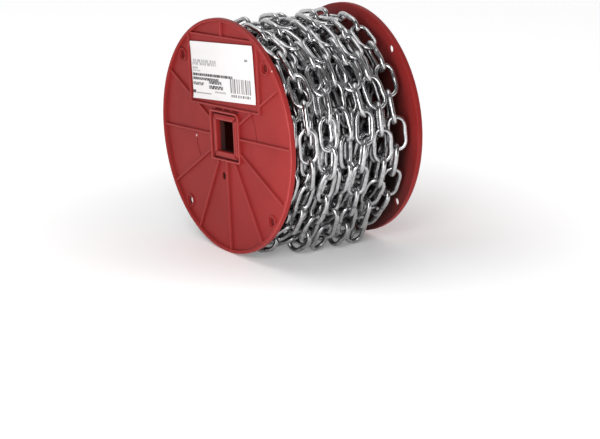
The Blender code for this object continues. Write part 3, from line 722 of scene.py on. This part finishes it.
def carried(path, profile, closed):
    # A profile of aside, height and a mark of wear and painted light carried along a flat path, mitred at
    # corners; open ends are capped
    path, profile = np.array(path, float), np.array(profile, float)
    step = np.diff(np.vstack([path, path[:1]]) if closed else path, axis=0)
    step /= np.linalg.norm(step, axis=1)[:, None]
    before = np.roll(step, 1, 0) if closed else np.vstack([step[:1], step])
    after = step if closed else np.vstack([step, step[-1:]])
    left = np.stack([-(before + after)[:, 1], (before + after)[:, 0]], -1)
    left /= (left * np.stack([-after[:, 1], after[:, 0]], -1)).sum(1)[:, None]
    flat = path[:, None, :] + left[:, None, :] * profile[None, :, :1]
    points = np.concatenate([flat, np.broadcast_to(profile[:, 1][None, :, None], (*flat.shape[:2], 1))], -1)
    n, m = points.shape[:2]
    faces = gridFaces(n, m, closed, True)[:, ::-1]
    caps = [] if closed else [list(range(m)), [(n - 1) * m + k for k in range(m)][::-1]]
    return points.reshape(-1, 3), faces.tolist() + caps, np.tile(profile[:, 2], n)


def ribProfile(width, foot, top, flare=0.9):
    # Flared foot, slightly drafted sides and a rounded crown, closed below the surface that it stands on. The
    # flare is in millimetres
    h, k = width / 2, flare / 1000
    # the third values paint shade at the foot and a highlight on the crown
    right = [
        (h + k, foot - 0.00005, -0.1), (h + 0.45 * k, foot + 0.0001, -0.6),
        (h + 0.1 * k, foot + 0.55 * k, -0.5), (h - 0.00005, top - 0.0004, 0.3),
        (h - 0.0002, top - 0.0001, 0.7), (h - 0.00045, top, 0.6),
    ]
    return right + [(-x, z, w) for x, z, w in reversed(right)] + [(0, foot - 0.0004, 0)]


def ribsAndFrame(f):
    # Ribs from the hub to the rim, broken where they meet the label's frame, which runs into the rim at its
    # upper corners
    parts = []
    top, rim = f["rimDepth"] - f["ribSetback"], f["radius"] - f["rimWall"]
    (midX, midY), (halfX, halfY) = f["frameMiddle"], f["frameHalf"]
    rib, wall = (ribProfile(f[width], f["web"], top) for width in ("ribWidth", "frameWall"))
    for degrees in f["ribAngles"]:
        way = np.array([math.cos(math.radians(degrees)), math.sin(math.radians(degrees))])
        begin = midY if degrees == 90 else f["ribBegin"] / max(abs(way))
        steps = np.linspace(begin, rim + f["ribEnd"], 800)
        within = (abs(steps * way[0] - midX) < halfX) & (abs(steps * way[1] - midY) < halfY)
        runs = [(steps[0], steps[-1])]
        if within.any():
            runs = [(steps[0], steps[within][0]), (steps[within][-1], steps[-1])]
        for first, last in runs:
            if last - first > f["shortestRib"]:
                parts.append(carried([way * first, way * last], rib, False))
    left, right, low, high = midX - halfX, midX + halfX, midY - halfY, midY + halfY
    reach = rim + f["frameEnd"]
    upLeft, upRight, across = (math.sqrt(reach**2 - v**2) for v in (left, right, high))
    parts.append(carried([(left, upLeft), (left, low), (right, low), (right, upRight)], wall, False))
    parts.append(carried([(-across, high), (across, high)], wall, False))
    return parts


def bossPlaces(f, side):
    # The middles of the four bosses, on a circle about the axis
    a = [math.radians(degrees) for degrees in f["bossAngles"]]
    return [f["bossRing"][side] * np.array([math.cos(angle), math.sin(angle)]) for angle in a]


def bossRings(f, side):
    # A low round wall about each boss
    ring = ribProfile(f["bossWall"], f["web"], f["web"] + f["bossHeight"], 0.4)
    wide = f["bossRadius"] - f["bossWall"] / 2
    return [carried(roundLine(place, wide, 40), ring, True) for place in bossPlaces(f, side)]


def circleArcs(f):
    # The faint moulded circle, where it shows: a low and narrow rib, painted darker than the web as shade
    low = ribProfile(f["circleWidth"], f["web"], f["web"] + f["circleHeight"], 0.2)
    parts = []
    for first, last in f["circleArcs"]:
        a = np.radians(np.linspace(first, last, 24))
        path = np.stack([f["circleMiddle"] + f["circle"] * np.cos(a), f["circle"] * np.sin(a)], -1)
        parts.append(carried(path, [(x, z, f["circleShade"]) for x, z, w in low], False))
    return parts


def flangeHoles(f, side):
    # Outlines of the boss holes, the tie hole and the slots, and whether each of them goes through
    holes = [roundLine(place, f["bossHole"], 24) for place in bossPlaces(f, side)]
    holes.append(boxLine(f["tieHalf"], f["tieCorner"], f["tieHole"]))
    holes += [boxLine(f["slotHalf"], f["slotCorner"], (x, f["slotLine"])) for x in f["slots"]]
    through = [degrees in f["openBosses"][side] for degrees in f["bossAngles"]] + [True]
    return holes, through + [False] * len(f["slots"])


def joined(parts):
    # One mesh from several; points that lie on the same spot become one
    points, faces, marks, start = [], [], [], 0
    for partPoints, partFaces, partMarks in parts:
        points.append(partPoints)
        faces += [[i + start for i in face] for face in partFaces]
        marks.append(partMarks)
        start += len(partPoints)
    points, marks = np.concatenate(points), np.concatenate(marks)
    first, number = np.unique(np.round(points * 1e7), axis=0, return_index=True, return_inverse=True)[1:]
    number = number.ravel()
    return points[first], [[int(number[i]) for i in face] for face in faces], marks[first]


def flangeMesh(f, h, side):
    # The turned rim and the hub, flat sheets between them at the front and the back of the web, a wall in
    # each hole, and the bosses, arcs, ribs and frame that stand on the web
    rim = rimRows(f)
    line = roundLine((0, 0), 1.0, f["columns"])
    rimGrid = stacked([radius * line for radius, z, wearAndPaintedLight in rim], [z for radius, z, wearAndPaintedLight in rim])
    rimFaces = gridFaces(len(rim), len(line), False, True)[:, ::-1].tolist()
    hubGrid, hubMarks = hubSurface(f, h)
    parts = [
        (rimGrid.reshape(-1, 3), rimFaces, np.repeat([wearAndPaintedLight for radius, z, wearAndPaintedLight in rim], len(line))),
        (hubGrid.reshape(-1, 3), gridFaces(*hubGrid.shape[:2], False, True).tolist(), hubMarks.ravel()),
    ]
    holes, through = flangeHoles(f, side)
    # at the back the plastic is a little rubbed, and only the holes that go through are open
    opened = [hole for hole, isOpen in zip(holes, through) if isOpen]
    sheets = (
        (f["web"], hubGrid[0], rimGrid[0], holes, 0),
        (0.0, hubGrid[-1], rimGrid[-1], opened, f["backWorn"]),
    )
    for z, hubEdge, rimEdge, cuts, wearAndPaintedLight in sheets:
        outer, inner = rimEdge[:, :2], hubEdge[:, :2]
        guards = [f["guards"][0] * outer, f["guards"][1] * inner]
        flat, faces, marks = flatSheet(outer, [inner, *cuts], guards, z, z > 0)
        parts.append((flat, faces, marks + wearAndPaintedLight))
    for hole, isOpen in zip(holes, through):
        wall = stacked([hole, hole], (f["web"], 0.0 if isOpen else f["recess"]))
        faces = gridFaces(2, len(hole), False, True).tolist()
        if not isOpen:
            faces.append([len(hole) + k for k in range(len(hole))])
        # the walls of blind holes are painted darker as shade
        wearAndPaintedLight = f["openWorn"] if isOpen else f["blindShade"]
        parts.append((wall.reshape(-1, 3), faces, np.repeat(wearAndPaintedLight, len(hole))))
    return joined(parts + bossRings(f, side) + circleArcs(f) + ribsAndFrame(f))


def flangePlace(points, side, f):
    # From the flange's frame into the reel's: turned about its axis, then set against the winding
    t = -side * math.radians(f["turn"])
    x = points[:, 0] * math.cos(t) - points[:, 1] * math.sin(t)
    y = points[:, 0] * math.sin(t) + points[:, 1] * math.cos(t)
    return np.stack([side * (insideHalf + points[:, 2]), side * x, y + axisHeight], -1)


def addFlange(name, side, material):
    # The mark "inner" is 1 on what faces the winding
    points, faces, marks = flangeMesh(flange, hub, side)
    marks = {"wearAndPaintedLight": marks, "inner": points[:, 2] < flange["insideUpTo"]}
    piece = meshObject(name, flangePlace(points, side, flange), faces, material, marks=marks)
    piece.data.set_sharp_from_angle(angle=math.radians(flange["sharpest"]))
    return piece


plastic = redPlastic("reelRed", plasticLook)
for name, side, node in (("labelled_flange", -1, "near_flange"), ("plain_flange", 1, "far_flange")):
    finishPiece(addFlange(name, side, plastic), "red_plastic", node)
# the barrel gets a darker copy of the red, which paints the shade under the chain
shadedBarrelRed = redPlastic("shadedBarrelRed", plasticLook, plasticLook["barrelShade"])
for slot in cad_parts["barrel"].material_slots:
    slot.material = shadedBarrelRed
print("reel moulded")


# Label: a sheet of paper whose upper and lower edges have come away a little. Its half sizes and corner are
# in millimetres, its place, height and thickness in metres
label = {
    "half": (50.8, 25.4), "corner": 3, "middle": (-0.0012, 0.0566), "turn": 2.3, "height": 0.0031,
    "thick": 0.00025, "columns": 255, "rows": 129,
    "paper": (0.93, 0.905, 0.91, 1), "yellowed": (0.90, 0.87, 0.865, 1), "ink": (0.09, 0.085, 0.09, 1),
}
# Plain dashes and stripes in place of print, in millimetres from the middle: left, right, bottom, top, step,
# share inked, tone
labelPrint = [
    (-49, -10, 4.0, 9.2, 4.6, 0.72, 0.5), (-49, -40, 0.6, 2.4, 2.4, 0.7, 0.6),
    (-49, -36, -1.5, 0.0, 2.4, 0.7, 0.6), (-49.5, 16, -5.3, -2.9, 2.4, 0.85, 1),
    (-50, -7, -8.9, -6.6, 2.4, 0.85, 1), (-50, -32, -13.5, -11.0, 3.0, 0.75, 0.9),
    (-24, -3, -11.8, -8.8, 3.4, 0.8, 1), (-24, -1, -16.2, -12.7, 3.4, 0.8, 1),
    (-51, -46, -20.8, -18.2, 9, 0.9, 1), (-45, -20, -20.9, -20.0, 50, 1, 0.8),
    (-14.5, 3.5, -19.4, -17.6, 2.0, 0.75, 0.6), (11.5, 43.7, -17.6, -4.9, 2.4, 0.5, 0.9),
    (12, 43, -21.4, -18.8, 2.6, 0.6, 0.9), (36.5, 41.5, 11.0, 12.8, 8, 0.6, 0.8),
]


def paperFinish(look):
    # White paper, yellowed in clouds, with ink where the mark "ink" says
    finish = Finish("labelPaper")
    cloud = finish.noise(40, 3)
    fibre = finish.noise(1500, 2, 0.6, (1, 1, 0.3))
    colour = finish.blend(cloud.over(0.4, 0.75) * 0.6, look["paper"], look["yellowed"])
    colour = finish.blend(finish.mark("ink"), colour, look["ink"])
    return finish.shade(
        Base_Color=colour, Roughness=0.5 + 0.15 * cloud, Normal=finish.bump(fibre, 0.15, 0.0002),
        Specular_IOR_Level=0.25,
    )


def inkMarks(u, v):
    # The tone of the strokes that cover a point. In the rows of short strokes on the left, the lower half
    # stands half a stroke aside, and a wave makes the strokes of every row differ in width
    ink = np.zeros_like(u)
    for left, right, bottom, top, step, share, tone in labelPrint:
        split = (v < (bottom + top) / 2) * (step < 5) * (right < 10)
        swing = 0.3 * step * np.sin(1.9 * u / step) + 0.5 * step * split
        within = (u > left) & (u < right) & (v > bottom) & (v < top)
        ink = np.where(within & ((u - left + swing) % step < share * step), tone, ink)
    return ink


def addLabel(look):
    # u runs across and v up; the height grows toward the upper and lower edges and the right side, and the
    # upper left corner is rounded off
    (halfU, halfV), corner = look["half"], look["corner"]
    along, up = np.linspace(-halfU, halfU, look["columns"]), np.linspace(0, 1, look["rows"])
    u, t = np.meshgrid(along, up, indexing="ij")
    cut = np.clip(corner - (u + halfU), 0, corner)
    v = -halfV + t * (2 * halfV - (corner - np.sqrt(corner**2 - cut**2)))
    byEdges = np.clip(abs(v) / halfV - 0.72, 0, 1) ** 2 * 9 * (1 + 0.3 * np.sin(u / 11))
    bySide = np.clip(u / halfU - 0.85, 0, 1) ** 2 * 18
    height = look["height"] + 0.001 * (byEdges + bySide) + 0.00005 * np.sin(u / 7 + v / 13)
    a = math.radians(look["turn"])
    x = look["middle"][0] + 0.001 * (u * math.cos(a) - v * math.sin(a))
    y = look["middle"][1] + 0.001 * (u * math.sin(a) + v * math.cos(a))
    points = flangePlace(np.stack([x, y, height], -1).reshape(-1, 3), -1, flange)
    faces = gridFaces(look["columns"], look["rows"], False, False)
    piece = meshObject("paper_label", points, faces, paperFinish(look), marks={"ink": inkMarks(u, v)})
    thick = piece.modifiers.new("thickness", "SOLIDIFY")
    thick.thickness, thick.offset = look["thick"], -1
    return finishPiece(piece, "paper", "label")


addLabel(label)
print("label stuck on")


# Floor and light: where each softbox stands, what it is aimed at, its size and its power
studio = {
    "floorHalf": 12.0, "floorGlow": 0.56, "glowNear": (0.35, 0.35, 0.35, 1), "glowFar": (1, 1, 1, 1),
    "backdrop": 0.85, "room": 0.14,
    "softboxes": {
        "topBox": ((-0.3, 0.2, 1.3), (0, 0, 0.1), 0.9, 4),
        "frontBox": ((-0.9, -1.1, 0.9), (0, 0, 0.1), 0.5, 4.2),
        "flangeBox": ((-0.27, -0.29, 0.16), (-0.068, -0.05, 0.1), 0.2, 0.65),
    },
}


def addFloor(look):
    # Pale paper that glows as painted light, less near the reel, where the dimmer glow paints a soft shade
    finish = Finish("floorPaper")
    cloud = finish.noise(3, 2)
    away = finish.add("VectorMath", {"operation": "LENGTH"}, finish.place, out=1)
    finish.shade(
        Base_Color=finish.blend(cloud, (0.86, 0.86, 0.86, 1), (0.9, 0.9, 0.9, 1)), Roughness=0.7,
        Specular_IOR_Level=0.2, Emission_Strength=look["floorGlow"],
        Emission_Color=finish.blend(away.over(0.08, 0.4), look["glowNear"], look["glowFar"]),
    )
    r = look["floorHalf"]
    points = np.array([[-r, -r, 0], [r, -r, 0], [r, r, 0], [-r, r, 0]], float)
    meshObject("floor", points, np.array([[0, 1, 2, 3]]), finish.material, False)


def addSoftbox(name, place, aim, size, power):
    # A square lamp whose back points away from what it is aimed at
    data = bpy.data.lights.new(name, "AREA")
    data.shape, data.size, data.size_y, data.energy = "RECTANGLE", size, size, power
    light = bpy.data.objects.new(name, data)
    scene.collection.objects.link(light)
    back = np.array(place, float) - np.array(aim, float)
    back /= np.linalg.norm(back)
    right = np.cross([0, 0, 1.0], back)
    right /= np.linalg.norm(right)
    light.matrix_world = poseFrom(right, np.cross(back, right), back, place)
    light.visible_camera = False


def addWorld(look):
    # A white backdrop behind the reel, and a dim room on the side from which it is seen
    world = bpy.data.worlds.new("studio")
    scene.world = world
    world.use_nodes = True
    tree = world.node_tree
    coord = tree.nodes.new("ShaderNodeTexCoord")
    dot = tree.nodes.new("ShaderNodeVectorMath")
    dot.operation = "DOT_PRODUCT"
    tree.links.new(coord.outputs["Generated"], dot.inputs[0])
    dot.inputs[1].default_value = (-viewLine[0], -viewLine[1], -viewLine[2])
    dim = tree.nodes.new("ShaderNodeMapRange")
    dim.interpolation_type = "SMOOTHSTEP"
    # the range of the facing, then the strength behind the reel and on the camera's side
    for key, value in ((1, -0.35), (2, 0.2), (3, look["backdrop"]), (4, look["room"])):
        dim.inputs[key].default_value = value
    tree.links.new(dot.outputs["Value"], dim.inputs[0])
    tree.links.new(dim.outputs[0], tree.nodes["Background"].inputs["Strength"])
    tree.nodes["Background"].inputs["Color"].default_value = (1, 1, 1, 1)


addFloor(studio)
addWorld(studio)
for name, (place, aim, size, power) in studio["softboxes"].items():
    addSoftbox(name, place, aim, size, power)
scene.view_settings.view_transform = "Standard"
print("studio lit")
